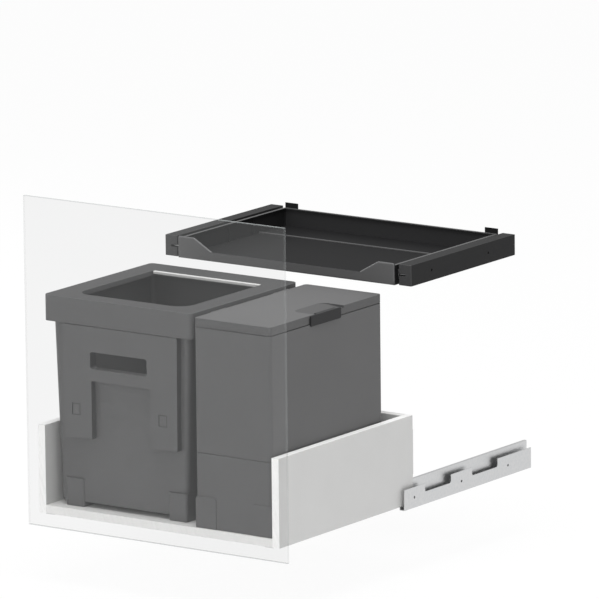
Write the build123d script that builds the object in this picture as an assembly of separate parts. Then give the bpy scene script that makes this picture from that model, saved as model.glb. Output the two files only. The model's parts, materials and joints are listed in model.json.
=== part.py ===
from build123d import *
import os

# A pull-out bin frame for a 600 mm kitchen base cabinet, in millimetres.
# X runs across the cabinet, Y runs to its back and Z runs up.
# The origin is the middle of the cabinet's opening, on its floor and at its front edges.
# The pull-out is drawn part open, as it stands when the bins are in use.

# The cabinet opening, and the room that is kept inside it
opening_width = 568.0
wall_gap = 8.0
floor_gap = 10.0

# Clearances shared by all pieces
seat_gap = 0.3
slide_gap = 0.3
turn_gap = 0.08
screw_gap = 0.05
overrun = 1.0

# Telescopic runner inside each side
rail_length = 434.0
rail_sheet = 1.0
rail_height = 40.0
rail_rise = 6.0
rail_setback = 3.0
rail_lip = 4.8
rail_overlap_now = 38.0
upright_gap = 0.9
flange_sheet = 1.2
flange_height = 40.0
flange_rise = 3.0
middle_length_share = 0.92
middle_sheet = 1.2
middle_side_gap = 0.5
pad_thickness = 3.0
pad_length = 60.0
pad_spacing = 106.0
pad_lead = 0.5
runner_first_hole = 37.0
runner_hole_pitch = 160.0
runner_hole_count = 3
runner_hole_height = 23.0
fixing_hole_radius = 2.5
relief_length = 88.0
relief_height = 16.0
relief_radius = 4.0

# Drawer box
side_width = 16.0
side_height = 170.0
side_sheet = 1.2
side_edge_radius = 1.0
ledge_width = 18.0
board_thickness = 16.0

# Clear front
front_overlap = 14.0
front_height = 632.0
front_thickness = 6.0
front_drop = 15.0
front_bevel = 0.8

# Brackets that join the front and the back to the hollow sides
bracket_sheet = 1.5
bracket_low = 66.0
bracket_high = 152.0
tongue_length = 64.0
rear_tongue_length = 26.0
rear_plate_width = 36.0
screw_shank_radius = 1.8
screw_head_radius = 4.0
screw_head_height = 1.6
screw_length = 12.0
bracket_screw_inset = 20.0
floor_screw_inset = 60.0
floor_screw_count = 3

# Large bin
large_side_gap = 16.0
large_front_gap = 26.0
large_width = 292.0
large_back_room = 100.0
large_height = 403.0
large_draft = 13.0
large_end_draft = 2.0
large_wall = 2.5
large_floor_thickness = 3.0
large_corner = 11.0
large_floor_lift = 10.0
large_rim_gap = 1.0
large_rim_thickness = 3.0
foot_left_inset = 14.0
foot_right_inset = -2.0
foot_width = 42.0
foot_height = 54.0
foot_proud = 4.0
foot_depth = 34.0
foot_corner = 5.0
slot_inset = 83.0
slot_width = 131.0
slot_drop = 99.0
slot_height = 33.0
slot_corner = 5.0
slot_lip = 2.2
slot_lip_width = 3.0
pad_proud = 13.0
pad_left_inset = 21.5
pad_top_right_inset = 8.0
pad_foot_right_inset = 10.5
pad_leg_left = 63.5
pad_leg_right = 60.0
pad_drop = 267.5
pad_arch_drop = 155.0
pad_radius = 2.0
mark_width = 19.0
mark_height = 23.0
mark_depth = 1.2
mark_drop = 224.0
mark_left_inset = 18.0
mark_right_inset = 23.0

# Bag frame on the large bin
collar_height = 50.0
collar_left_reach = 23.0
collar_right_reach = 26.0
collar_front_reach = 15.0
collar_back_reach = 16.0
collar_wall = 2.5
collar_corner = 10.0
collar_edge = 1.5
mouth_left_margin = 46.0
mouth_right_margin = 43.0
mouth_front_margin = 39.0
mouth_back_margin = 55.0
mouth_front_corner = 32.0
mouth_back_corner = 3.0
mouth_lip_depth = 10.0
mouth_lip_wall = 2.5
mouth_edge = 1.0
bar_height = 6.0
bar_thickness = 6.0
bar_radius = 1.5

# Small bin, its stand and its lid
bin_spacing = 10.0
small_side_gap = 3.0
small_front_gap = 5.0
small_back_room = 72.0
small_height = 398.0
small_wall = 2.5
small_corner = 7.0
small_floor_thickness = 5.0
small_rim_wall = 2.2
small_rim_shoulder = 2.5
stand_height = 143.0
stand_wall = 2.5
stand_foot_width = 46.0
stand_foot_height = 60.0
stand_foot_proud = 1.5
stand_foot_corner = 6.0
stand_rib_thickness = 2.5
stand_boss_radius = 5.0
stand_boss_height = 26.0
stand_screw_inset = 46.0
stand_screw_length = 30.0
stand_lug_height = 3.0
stand_lug_width = 24.0
stand_lug_inset = 48.0
lid_height = 16.0
lid_plate = 2.5
lid_skirt = 2.5
lid_edge = 1.0
lid_seam = 1.5
scoop_width = 51.0
scoop_length = 98.0
scoop_inset = 141.0
scoop_depth = 5.0
scoop_corner = 18.0
grip_length = 98.0
grip_inset = 128.0
grip_drop = 21.0
grip_top_gap = 0.5
grip_thickness = 3.0
grip_lap_sheet = 1.5
grip_gap = 3.5
grip_lap = 12.0
grip_radius = 2.5
grip_edge = 0.8
knuckle_radius = 3.0
hinge_pin_radius = 1.25
hinge_inset = 80.0
lid_knuckle_length = 24.0
bin_knuckle_length = 12.0
knuckle_gap = 0.4

# Tray above the bins
tray_gap = 1.0
tray_side_gap = 34.0
tray_front = 24.0
tray_length = 356.0
tray_wall = 2.5
tray_floor = 2.5
tray_rim_height = 38.0
tray_wing_height = 42.0
tray_lip_height = 18.0
tray_corner = 8.0
tray_rim_width = 6.0
tray_rim_thickness = 2.0
apron_thickness = 4.0
apron_radius = 10.0
apron_under_radius = 3.0
wing_width = 37.0
wing_slope = 42.0
wing_radius = 4.0
tray_rib_first = 162.0
tray_rib_pitch = 80.0
tray_rib_count = 2
tray_rib_width = 2.0
tray_rib_proud = 2.5
tray_rib_drop = 7.0
hook_width = 30.0
hook_sheet = 1.5
hook_low = 13.0
hook_high = 48.0
hook_inset = 2.0

# Tray runners and the housings that carry them
housing_setback = 9.0
housing_length = 350.0
housing_width = 27.5
housing_height = 40.0
housing_wall = 2.0
housing_slot = 12.0
cap_thickness = 2.0
cap_notch_gap = 1.2
tray_rail_sheet = 1.5
tray_rail_leg = 18.0
tray_rail_tongue = 18.0
tray_rail_inset = 4.0
tray_stop_height = 5.0
tray_travel = 140.0
guide_length = 30.0
guide_inset = 5.0
tray_hole_inset = 68.0
tray_hole_pitch = 192.0
tray_hole_count = 2

# Places in the cabinet and the drawer that follow from the sizes above
opening_half = opening_width / 2
front_half = opening_half + front_overlap
box_half = opening_half - wall_gap
inner_half = box_half - side_width
box_length = rail_length + 2 * rail_setback
box_front = rail_overlap_now - rail_length
box_back = box_front + box_length
box_low = floor_gap
box_high = box_low + side_height
bin_floor = box_low + board_thickness
rail_low = box_low + rail_rise
rail_high = rail_low + rail_height
middle_length = rail_length * middle_length_share

# Runner sections, measured inwards from a side's outer face
upright_outer = side_sheet + upright_gap
channel_outer = upright_outer + flange_sheet
channel_tip = channel_outer + rail_lip
inner_channel_back = side_width - side_sheet
inner_channel_tip = inner_channel_back - rail_lip
middle_outer = channel_outer + rail_sheet + middle_side_gap
middle_inner = inner_channel_back - rail_sheet - middle_side_gap
middle_centre = (middle_outer + middle_inner) / 2
lower_flange_low = rail_low + rail_sheet + slide_gap + pad_thickness
upper_flange_high = rail_high - rail_sheet - slide_gap - pad_thickness

# Where the rails stand while the drawer is part open
cabinet_rail_front = rail_setback
drawer_rail_front = box_front + rail_setback
middle_front = (cabinet_rail_front + drawer_rail_front + rail_length - middle_length) / 2
bracket_x = inner_half + side_sheet

# Large bin and bag frame places
large_left = large_side_gap - inner_half
large_right = large_left + large_width
large_front = box_front + large_front_gap
large_back = box_back - large_back_room
foot_left = large_left + foot_left_inset
foot_right = large_right - foot_right_inset
collar_top = bin_floor + large_height
collar_low = collar_top - collar_height
collar_left = large_left - collar_left_reach
collar_right = large_right + collar_right_reach
collar_front = large_front - collar_front_reach
collar_back = large_back + collar_back_reach
mouth_left = collar_left + mouth_left_margin
mouth_right = collar_right - mouth_right_margin
mouth_front = collar_front + mouth_front_margin
mouth_back = collar_back - mouth_back_margin
large_low = bin_floor + large_floor_lift
large_rim = collar_top - collar_wall - seat_gap
large_rise = large_rim - large_low
slot_high = collar_top - slot_drop
slot_low = slot_high - slot_height
slot_middle = large_left + slot_inset + slot_width / 2
pad_left = large_left + pad_left_inset
pad_right = large_right - pad_foot_right_inset

# Small bin and lid places
small_left = collar_right + bin_spacing
small_right = inner_half - small_side_gap
small_front = box_front + small_front_gap
small_back = box_back - small_back_room
small_area = (small_left, small_right, small_front, small_back)
rim_inset = lid_skirt + slide_gap
rim_reach = rim_inset + small_rim_wall
rim_corner = small_corner - lid_skirt
small_middle_y = (small_front + small_back) / 2
stand_top = bin_floor + stand_height
small_low = stand_top + seat_gap
lid_top = bin_floor + small_height
lid_low = lid_top - lid_height
small_shoulder = lid_low - lid_seam
small_rim = lid_top - lid_plate - seat_gap
scoop_left = small_right - scoop_width
scoop_front = small_front + scoop_inset
scoop_back = scoop_front + scoop_length
grip_front = small_front + grip_inset
grip_back = grip_front + grip_length
grip_low = lid_top - grip_drop
hinge_x = small_left - knuckle_radius / 2
hinge_z = lid_top - knuckle_radius
hinge_stations = (small_front + hinge_inset, small_back - hinge_inset)

# Tray and housing places
tray_half_width = opening_half - tray_side_gap
tray_low = collar_top + tray_gap
tray_rim = tray_low + tray_rim_height
tray_wing = tray_low + tray_wing_height
tray_lip = tray_low + tray_lip_height
tray_back = tray_front + tray_length
wing_inner = tray_half_width - wing_width
lip_inner = wing_inner - wing_slope
housing_front = tray_front + housing_setback
housing_back = housing_front + housing_length
housing_low = tray_low
housing_high = housing_low + housing_height
housing_inner = opening_half - housing_width
housing_middle = (housing_low + housing_high) / 2
tray_rail_front = housing_front + guide_inset
tray_rail_back = tray_back - tray_rail_inset
tongue_tip = tray_half_width + tray_rail_sheet + tray_rail_tongue
tongue_low = housing_middle - tray_rail_sheet / 2
tongue_high = housing_middle + tray_rail_sheet / 2


def block(x_low, x_high, y_low, y_high, z_low, z_high):
    """A box between its lowest and highest corners."""
    centre = Pos((x_low + x_high) / 2, (y_low + y_high) / 2, (z_low + z_high) / 2)
    return centre * Box(x_high - x_low, y_high - y_low, z_high - z_low)


def outline(points):
    return make_face(Polyline(*points, close=True))


def along_y(face, low, high):
    """A face drawn in X and Z, run along Y from low to high."""
    return extrude(Plane.XZ.offset(-high) * face, amount=high - low)


def along_z(face, low, high):
    return extrude(Plane.XY.offset(low) * face, amount=high - low)


def rounded_area(left, right, front, back, radius):
    """A rounded rectangle in X and Y."""
    area = RectangleRounded(right - left, back - front, radius)
    return Pos((left + right) / 2, (front + back) / 2) * area


def inset_area(area, inset, radius):
    left, right, front, back = area
    return rounded_area(left + inset, right - inset, front + inset, back - inset, radius)


def rod_x(x_low, x_high, y, z, radius):
    spot = Pos((x_low + x_high) / 2, y, z) * Rot(0, 90, 0)
    return spot * Cylinder(radius, x_high - x_low)


def rod_y(x, y_low, y_high, z, radius):
    spot = Pos(x, (y_low + y_high) / 2, z) * Rot(90, 0, 0)
    return spot * Cylinder(radius, y_high - y_low)


def rod_z(x, y, z_low, z_high, radius):
    return Pos(x, y, (z_low + z_high) / 2) * Cylinder(radius, z_high - z_low)


def inner_corner(before, here, after, thickness):
    """The point beside a bend of a folded sheet, on the left of its path."""
    first = (here - before).normalized()
    second = (after - here).normalized()
    left_first = Vector(-first.Y, first.X)
    left_second = Vector(-second.Y, second.X)
    reach = thickness / (1 + left_first.dot(left_second))
    return here + (left_first + left_second) * reach


def folded_sheet(path, thickness):
    """The section of a folded sheet, which lies to the left of its path."""
    spots = [Vector(*p) for p in path]
    ends_before = [spots[0] * 2 - spots[1]] + spots[:-1]
    ends_after = spots[1:] + [spots[-1] * 2 - spots[-2]]
    inside = [inner_corner(b, h, a, thickness) for b, h, a in zip(ends_before, spots, ends_after)]
    return outline(spots + inside[::-1])


def from_side(inward):
    """X of a point that lies inward of the right side's outer face."""
    return box_half - inward


def other_side(shape):
    return mirror(shape, about=Plane.YZ)


def both_sides(shape):
    return Compound(children=list(shape.solids()) + list(other_side(shape).solids()))


def grouped(shapes):
    """Separate solids kept in one group."""
    return Compound(children=[s for shape in shapes for s in shape.solids()])


def runner_holes():
    return [runner_first_hole + runner_hole_pitch * i for i in range(runner_hole_count)]


def wall_bracket():
    """Z-shaped bracket: a flange on the cabinet wall, a web under the side, an upright inside it."""
    path = [
        (opening_half, flange_rise + flange_height),
        (opening_half, flange_rise),
        (from_side(channel_outer), flange_rise),
        (from_side(channel_outer), rail_high),
    ]
    sheet = folded_sheet(path, -flange_sheet)
    bracket = along_y(sheet, cabinet_rail_front, cabinet_rail_front + rail_length)
    for y in runner_holes():
        low = opening_half - flange_sheet - overrun
        bracket -= rod_x(low, opening_half + overrun, y, runner_hole_height, fixing_hole_radius)
    return bracket - flange_reliefs()


def flange_reliefs():
    """Cut-outs along the top of the wall flange, between its screw holes."""
    holes = runner_holes()
    top = flange_rise + flange_height
    cuts = []
    for first, second in zip(holes[:-1], holes[1:]):
        middle = (first + second) / 2
        area = Pos(middle, top) * RectangleRounded(relief_length, 2 * relief_height, relief_radius)
        plane = Plane.YZ.offset(opening_half - flange_sheet - overrun)
        cuts.append(extrude(plane * area, amount=flange_sheet + 2 * overrun))
    return cuts


def channel(back, tip, front):
    """A C-shaped rail whose open side faces from back towards tip."""
    path = [
        (from_side(tip), rail_low),
        (from_side(back), rail_low),
        (from_side(back), rail_high),
        (from_side(tip), rail_high),
    ]
    thickness = rail_sheet if tip > back else -rail_sheet
    return along_y(folded_sheet(path, thickness), front, front + rail_length)


def middle_rail():
    """I-shaped rail that runs in both channels."""
    web_outer = from_side(middle_centre - middle_sheet / 2)
    web_inner = from_side(middle_centre + middle_sheet / 2)
    outer = from_side(middle_outer)
    inner = from_side(middle_inner)
    low = lower_flange_low
    high = upper_flange_high
    points = [
        (outer, low),
        (outer, low + middle_sheet),
        (web_outer, low + middle_sheet),
        (web_outer, high - middle_sheet),
        (outer, high - middle_sheet),
        (outer, high),
        (inner, high),
        (inner, high - middle_sheet),
        (web_inner, high - middle_sheet),
        (web_inner, low + middle_sheet),
        (inner, low + middle_sheet),
        (inner, low),
    ]
    return along_y(outline(points), middle_front, middle_front + middle_length)


def glide_pad(outward, inward, front, low):
    """One slide pad with a lead-in at both ends."""
    pad = block(from_side(inward), from_side(outward), front, front + pad_length, low, low + pad_thickness)
    ends = pad.edges().filter_by(Axis.Z)
    return chamfer(ends, pad_lead)


def glide_pads():
    """Pads at the back of the middle rail for the fixed channel, at its front for the drawer's."""
    middle_back = middle_front + middle_length
    rear = [middle_back - pad_length, middle_back - pad_length - pad_spacing]
    front = [middle_front, middle_front + pad_spacing]
    pads = []
    for low in (lower_flange_low - pad_thickness, upper_flange_high):
        pads += [glide_pad(middle_outer, channel_tip, y, low) for y in rear]
        pads += [glide_pad(inner_channel_tip, middle_inner, y, low) for y in front]
    return grouped(pads)


def screw_spots():
    """Heights of the two screws in each bracket."""
    return (bracket_low + bracket_screw_inset, bracket_high - bracket_screw_inset)


def drawer_side():
    """Hollow steel side, open below for the runner, with a ledge for the bottom board."""
    path = [
        (box_half, box_low),
        (box_half, box_high),
        (inner_half, box_high),
        (inner_half, box_low),
        (inner_half - ledge_width, box_low),
    ]
    side = along_y(folded_sheet(path, side_sheet), box_front + bracket_sheet, box_back)
    top_edges = side.edges().filter_by(Axis.Y).group_by(Axis.Z)[-1]
    side = fillet(top_edges, side_edge_radius)
    hole = screw_shank_radius + screw_gap
    for y in floor_screw_places():
        side -= rod_z(floor_screw_x(), y, box_low - side_sheet - overrun, box_low + overrun, hole)
    return side


def floor_screw_x():
    return inner_half - ledge_width / 2


def floor_screw_places():
    first = box_front + floor_screw_inset
    pitch = (box_length - 2 * floor_screw_inset) / (floor_screw_count - 1)
    return [first + pitch * i for i in range(floor_screw_count)]


def bottom_board():
    board = block(-inner_half, inner_half, box_front, box_back, box_low, bin_floor)
    return board - floor_screw_bores() - stand_screw_bores()


def floor_screw_bores():
    top = box_low + screw_length - side_sheet
    bores = [rod_z(floor_screw_x(), y, box_low - overrun, top, screw_shank_radius) for y in floor_screw_places()]
    return bores + [other_side(b) for b in bores]


def floor_screws():
    """Screws up through the ledges into the bottom board."""
    screws = []
    head_top = box_low - side_sheet
    for y in floor_screw_places():
        shank = rod_z(floor_screw_x(), y, head_top, box_low + screw_length - side_sheet, screw_shank_radius)
        head = rod_z(floor_screw_x(), y, head_top - screw_head_height, head_top, screw_head_radius)
        screws.append(shank + head)
    return both_sides(grouped(screws))


def back_board():
    front = box_back - board_thickness
    board = block(-inner_half, inner_half, front, box_back, bin_floor, box_high)
    for x in rear_screw_places():
        for z in screw_spots():
            board -= rod_y(x, box_back - rear_screw_reach(), box_back + overrun, z, screw_shank_radius)
    return board


def rear_screw_reach():
    return screw_length - bracket_sheet


def rear_screw_places():
    x = inner_half - (rear_plate_width - side_width) / 2
    return (x, -x)


def front_bracket():
    """Plate that closes the side's front end, with a tongue inside the hollow."""
    plate = block(inner_half, box_half, box_front, box_front + bracket_sheet, box_low, box_high)
    back = box_front + tongue_length
    tongue = block(bracket_x, bracket_x + bracket_sheet, box_front, back, bracket_low, bracket_high)
    return plate + tongue


def rear_bracket():
    """Angle on the back board, with a tongue that plugs into the hollow side."""
    inner = box_half - rear_plate_width
    plate = block(inner, box_half, box_back, box_back + bracket_sheet, bracket_low, bracket_high)
    front = box_back - rear_tongue_length
    tongue = block(bracket_x, bracket_x + bracket_sheet, front, box_back + bracket_sheet, bracket_low, bracket_high)
    bracket = plate + tongue
    for z in screw_spots():
        x = rear_screw_places()[0]
        bracket -= rod_y(x, box_back - overrun, box_back + bracket_sheet + overrun, z, screw_shank_radius)
    return bracket


def rear_bracket_screws():
    screws = []
    seat = box_back + bracket_sheet
    for x in rear_screw_places():
        for z in screw_spots():
            shank = rod_y(x, box_back - rear_screw_reach(), seat, z, screw_shank_radius)
            head = rod_y(x, seat, seat + screw_head_height, z, screw_head_radius)
            screws.append(shank + head)
    return grouped(screws)


def clear_front():
    """Clear front panel with a fine bevel on both faces."""
    half = front_half
    low = -front_drop
    panel = block(-half, half, box_front - front_thickness, box_front, low, low + front_height)
    rims = panel.edges().filter_by(Axis.Y, reverse=True)
    return chamfer(rims, front_bevel)


def large_rise_share(z):
    """How far up the large bin's leaning walls a height lies, from 0 to 1."""
    return (z - large_low) / large_rise


def large_form(inset, low, high):
    """The tapered body of the large bin between two heights, all faces moved in by the inset."""
    faces = []
    for z in (low, high):
        side = large_draft * large_rise_share(z) - inset
        end = large_end_draft * large_rise_share(z) - inset
        area = rounded_area(
            large_left - side, large_right + side, large_front - end, large_back + end, large_corner - inset
        )
        faces.append(Plane.XY.offset(z) * area)
    return loft(faces, ruled=True)


def large_face(z):
    """Y of the large bin's front face at a height."""
    return large_front - large_end_draft * large_rise_share(z)


def leaning_panel(points, proud, inset):
    """A panel that lies on the leaning front of the large bin, cut to an outline in X and Z."""
    low = min(z for _, z in points)
    high = max(z for _, z in points)
    side = outline([
        (large_face(low) + inset, low),
        (large_face(high) + inset, high),
        (large_face(high) - proud, high),
        (large_face(low) - proud, low),
    ])
    left = min(x for x, _ in points)
    right = max(x for x, _ in points)
    slab = extrude(Plane.YZ.offset(left) * side, amount=right - left)
    shape = fillet(outline(points).vertices(), pad_radius)
    return slab & along_y(shape, large_face(high) - 2 * proud, large_face(low) + 2 * inset)


def front_pad():
    """The raised frame on the front: a band with the hand slot and two legs."""
    top = collar_low - large_rim_gap
    low = collar_top - pad_drop
    arch = collar_top - pad_arch_drop
    points = [
        (pad_left, low),
        (pad_left, top),
        (large_right - pad_top_right_inset, top),
        (pad_right, low),
        (pad_right - pad_leg_right, low),
        (pad_right - pad_leg_right, arch),
        (pad_left + pad_leg_left, arch),
        (pad_left + pad_leg_left, low),
    ]
    return leaning_panel(points, pad_proud, large_wall / 2)


def bin_feet():
    """Four feet at the corners, a little proud of the walls."""
    feet = []
    for left in (foot_left, foot_right - foot_width):
        for front in (large_front - foot_proud, large_back - foot_depth):
            area = rounded_area(left, left + foot_width, front, front + foot_depth + foot_proud, foot_corner)
            feet.append(along_z(area, bin_floor + seat_gap, bin_floor + foot_height))
    return feet


def hand_slot(grow):
    """A rounded slot through the front wall, made larger all round by grow."""
    spot = Pos(slot_middle, slot_high - slot_height / 2)
    return spot * RectangleRounded(slot_width + 2 * grow, slot_height + 2 * grow, slot_corner + grow)


def large_bin():
    """Open bin: leaning walls, rim flange, feet, the raised front frame and the hand slot."""
    hollow = large_form(large_wall, large_low + large_floor_thickness, large_rim + overrun)
    body = large_form(0, large_low, large_rim)
    body += along_z(collar_area(collar_wall + large_rim_gap), large_rim - large_rim_thickness, large_rim)
    for foot in bin_feet():
        body += foot
    body += front_pad()
    body -= hollow
    deep = large_front + 2 * pad_proud
    proud = large_face(slot_high) - 2 * pad_proud
    lip_back = large_front + large_wall + slot_lip_width
    body += along_y(hand_slot(slot_lip), large_face(slot_high) + large_wall / 2, lip_back)
    body -= along_y(hand_slot(0), proud, deep)
    body -= front_mark(pad_left + mark_left_inset)
    body -= front_mark(pad_right - mark_right_inset - mark_width)
    return body


def front_mark(left):
    """A shallow recess on a leg of the raised frame."""
    low = collar_top - mark_drop
    face = large_face(low + mark_height / 2) - pad_proud
    return block(left, left + mark_width, face - overrun, face + mark_depth, low, low + mark_height)


def mouth_area(grow):
    """The bag frame's opening, with wider corners at the front."""
    left = mouth_left - grow
    right = mouth_right + grow
    front = mouth_front - grow
    back = mouth_back + grow
    face = outline([(left, front), (right, front), (right, back), (left, back)])
    corners = face.vertices().group_by(Axis.Y)
    face = fillet(corners[0], mouth_front_corner + grow)
    return fillet(face.vertices().group_by(Axis.Y)[-1], mouth_back_corner + grow)


def collar_area(inset):
    """The bag frame's outline, or one that lies inside it by the inset."""
    area = (collar_left, collar_right, collar_front, collar_back)
    return inset_area(area, inset, collar_corner - inset)


def bag_frame():
    """A deep ring that drops over the bin's rim and holds the bag's edge."""
    frame = along_z(collar_area(0), collar_low, collar_top)
    frame = fillet(frame.edges().group_by(Axis.Z)[-1], collar_edge)
    frame -= along_z(collar_area(collar_wall), collar_low - overrun, collar_top - collar_wall)
    frame += along_z(mouth_area(mouth_lip_wall), collar_top - mouth_lip_depth, collar_top - collar_wall / 2)
    frame -= along_z(mouth_area(0), collar_low, collar_top + overrun)
    rim = [edge for edge in frame.edges().group_by(Axis.Z)[-1] if is_at_mouth(edge)]
    return fillet(rim, mouth_edge)


def is_at_mouth(edge):
    """Whether an edge runs around the bag frame's opening."""
    spot = edge.center()
    across = mouth_left - overrun < spot.X < mouth_right + overrun
    along = mouth_front - overrun < spot.Y < mouth_back + overrun
    return across and along


def bag_bar():
    """Bar along the back of the opening that grips the bag's edge."""
    left = mouth_left + mouth_back_corner
    right = mouth_right - mouth_back_corner
    high = collar_top - seat_gap
    bar = block(left, right, mouth_back - bar_thickness, mouth_back, high - bar_height, high)
    front_edges = bar.edges().filter_by(Axis.X).group_by(Axis.Y)[0]
    return fillet(front_edges, bar_radius)


def small_stand():
    """Open-bottomed stand that brings the small bin level with the large one."""
    stand = along_z(inset_area(small_area, 0, small_corner), bin_floor, stand_top)
    inner = inset_area(small_area, stand_wall, small_corner - stand_wall)
    stand -= along_z(inner, bin_floor - overrun, stand_top - stand_wall)
    half_rib = stand_rib_thickness / 2
    stand += block(
        small_left + stand_wall / 2,
        small_right - stand_wall / 2,
        small_middle_y - half_rib,
        small_middle_y + half_rib,
        bin_floor,
        stand_top - stand_wall / 2,
    )
    for x in (small_left, small_right - stand_foot_width):
        area = Pos(x + stand_foot_width / 2, bin_floor + stand_foot_height / 2)
        foot = area * Rectangle(stand_foot_width, stand_foot_height)
        foot = fillet(foot.vertices().group_by(Axis.Y)[-1], stand_foot_corner)
        stand += along_y(foot, small_front - stand_foot_proud, small_front + stand_wall / 2)
    for x, y in stand_screw_places():
        stand += rod_z(x, y, bin_floor, bin_floor + stand_boss_height, stand_boss_radius)
    return stand + stand_lugs(0) - stand_screw_bores()


def stand_screw_places():
    return [(small_left + stand_screw_inset, small_middle_y), (small_right - stand_screw_inset, small_middle_y)]


def stand_screw_bores():
    low = box_low - overrun
    return [rod_z(x, y, low, box_low + stand_screw_length, screw_shank_radius) for x, y in stand_screw_places()]


def stand_screws():
    """Screws up through the bottom board into the stand's bosses."""
    screws = []
    for x, y in stand_screw_places():
        shank = rod_z(x, y, box_low, box_low + stand_screw_length, screw_shank_radius)
        head = rod_z(x, y, box_low - screw_head_height, box_low, screw_head_radius)
        screws.append(shank + head)
    return grouped(screws)


def stand_lugs(grow):
    """Two low lugs on the stand's top, or the pockets for them."""
    half = stand_lug_width / 2 + grow
    centre_x = (small_left + small_right) / 2
    top = stand_top + stand_lug_height + grow
    lugs = []
    for y in (small_front + stand_lug_inset, small_back - stand_lug_inset):
        lugs.append(block(centre_x - half, centre_x + half, y - half, y + half, stand_top - grow, top))
    return lugs


def small_bin():
    """Upper bin with a thick floor that drops over the stand's lugs, and a stepped-in rim."""
    body = along_z(inset_area(small_area, 0, small_corner), small_low, small_shoulder)
    inner = inset_area(small_area, small_wall, small_corner - small_wall)
    step = small_shoulder - small_rim_shoulder
    body -= along_z(inner, small_low + small_floor_thickness, step)
    body += along_z(rim_area(small_left, rim_inset, rim_corner), step, small_rim)
    opening = rim_area(small_left + small_wall, rim_reach, rim_corner - small_rim_wall)
    body -= along_z(opening, step - overrun, small_rim + overrun)
    body -= stand_lugs(slide_gap)
    body -= scoop_room()
    for y in hinge_stations:
        body += bin_knuckles(y)
        body -= lid_knuckle_room(y)
    return body - hinge_bores(hinge_pin_radius)


def rim_area(left, inset, radius):
    """The rim's outline: the left edge stands where it is told, the others are moved in by the inset."""
    return rounded_area(left, small_right - inset, small_front + inset, small_back - inset, radius)


def knuckle(y_low, y_high):
    """A barrel on the hinge line, joined to the wall beside it."""
    barrel = rod_y(hinge_x, y_low, y_high, hinge_z, knuckle_radius)
    reach = small_left + small_wall / 2
    neck = block(hinge_x, reach, y_low, y_high, hinge_z - knuckle_radius, hinge_z)
    return barrel + neck


def bin_knuckles(y):
    start = lid_knuckle_length / 2 + knuckle_gap
    end = start + bin_knuckle_length
    return knuckle(y - end, y - start) + knuckle(y + start, y + end)


def lid_knuckle_room(y):
    """Room for the lid's barrel as it turns between the bin's two barrels."""
    half = lid_knuckle_length / 2 + knuckle_gap
    radius = knuckle_radius + knuckle_gap
    return rod_y(hinge_x, y - half, y + half, hinge_z, radius)


def hinge_bores(radius):
    reach = lid_knuckle_length / 2 + bin_knuckle_length + knuckle_gap + overrun
    return [rod_y(hinge_x, y - reach, y + reach, hinge_z, radius) for y in hinge_stations]


def lid_hinge_pins():
    reach = lid_knuckle_length / 2 + bin_knuckle_length + knuckle_gap
    pins = [rod_y(hinge_x, y - reach, y + reach, hinge_z, hinge_pin_radius) for y in hinge_stations]
    return grouped(pins)


def scoop_section(drop):
    """The finger scoop's floor, sloping down to the lid's right edge."""
    return [
        (scoop_left, lid_top - drop),
        (small_right + overrun, lid_top - drop - scoop_depth),
    ]


def scoop_cut():
    floor = scoop_section(0)
    above = lid_top + overrun
    wedge = outline(floor + [(small_right + overrun, above), (scoop_left, above)])
    area = rounded_area(scoop_left, small_right + scoop_corner * 2, scoop_front, scoop_back, scoop_corner)
    return along_y(wedge, scoop_front, scoop_back) & along_z(area, lid_low, above)


def scoop_room():
    """A dip in the bin's right rim for the underside of the scoop."""
    low = lid_top - lid_plate - scoop_depth - seat_gap
    front = scoop_front - lid_plate - seat_gap
    back = scoop_back + lid_plate + seat_gap
    inner = small_right - rim_reach - overrun
    return block(inner, small_right + overrun, front, back, low, small_rim + overrun)


def scoop_floor():
    """The lid's plate carried down under the scoop."""
    top = lid_top - lid_plate / 2
    low = scoop_section(lid_plate)
    wedge = outline(low[::-1] + [(scoop_left, top), (small_right - lid_skirt / 2, top)])
    limit = block(
        scoop_left - lid_plate,
        small_right - lid_skirt / 2,
        scoop_front - lid_plate,
        scoop_back + lid_plate,
        lid_low,
        lid_top - lid_plate / 2,
    )
    return along_y(wedge, scoop_front - lid_plate, scoop_back + lid_plate) & limit


def lid():
    """Cap lid: plate, skirt on three sides, finger scoop, hinge barrels on the left."""
    cap = along_z(inset_area(small_area, 0, small_corner), lid_low, lid_top)
    cap = fillet(cap.edges().group_by(Axis.Z)[-1], lid_edge)
    inner = rim_area(small_left - small_corner * 2, lid_skirt, rim_corner)
    cap -= along_z(inner, lid_low - overrun, lid_top - lid_plate)
    cap += scoop_floor()
    cap -= scoop_cut()
    cap -= grip_notch()
    for y in hinge_stations:
        cap = lid_hinge_side(cap, y)
    return cap - hinge_bores(hinge_pin_radius + turn_gap)


def lid_hinge_side(cap, y):
    """The lid's barrel, and the gaps in its plate for the bin's barrels."""
    half = lid_knuckle_length / 2
    start = half + knuckle_gap
    end = start + bin_knuckle_length + knuckle_gap
    edge = hinge_x + knuckle_radius + knuckle_gap
    for low, high in ((y - end, y - half), (y + half, y + end)):
        cap -= block(small_left - overrun, edge, low, high, lid_low, lid_top + overrun)
    barrel = rod_y(hinge_x, y - half, y + half, hinge_z, knuckle_radius)
    neck = block(hinge_x, edge, y - half, y + half, lid_top - lid_plate, lid_top)
    return cap + barrel + neck


def grip_notch():
    """Gap in the skirt for the grip."""
    inner = small_right - lid_skirt - overrun / 2
    high = lid_top - scoop_depth
    return block(inner, small_right + overrun, grip_front - grip_gap, grip_front, lid_low - overrun, high)


def scoop_height(x):
    """Z of the scoop's floor."""
    return lid_top - scoop_depth * (x - scoop_left) / (small_right + overrun - scoop_left)


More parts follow.
